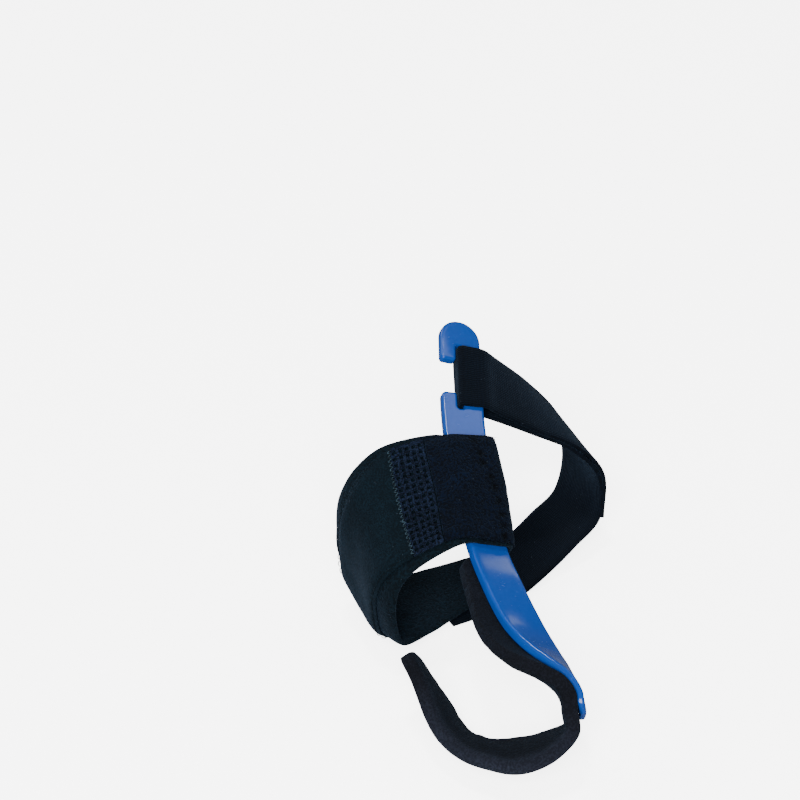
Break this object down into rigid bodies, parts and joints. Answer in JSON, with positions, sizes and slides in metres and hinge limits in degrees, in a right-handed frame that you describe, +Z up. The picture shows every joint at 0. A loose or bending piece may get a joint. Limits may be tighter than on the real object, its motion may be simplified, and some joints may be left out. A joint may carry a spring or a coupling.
{
  "type": "bunion corrector splint",
  "caption": "Bunion corrector: a rigid bar with a foam sling at its tip, a wide wrapped band and a webbing strap through a slot at its head.",
  "frame": {"origin": "in the middle of the sling, where the tip of the big toe sits, level with the ground under the wearer", "axes": "+Y back from the toes towards the heel, +X the outer side of a left foot, +Z up"},
  "size_m": [0.0889, 0.1263, 0.0625],
  "materials": {
    "blue_plastic": "glossy moulded plastic with rounded edges",
    "foam_cloth": "soft knitted cover over foam",
    "band_cloth": "brushed laminate",
    "felt": "smooth felt",
    "netting": "pierced mesh",
    "velour": "napped loop cloth",
    "webbing": "ribbed elastic webbing"
  },
  "bodies": {
    "root": {"splint": "blue_plastic", "toe_sling": "foam_cloth", "forefoot_band": "band_cloth", "smooth_panel": "felt", "mesh_panel": "netting", "velour_tab": "velour", "instep_strap": "webbing"}
  },
  "joints": []
}
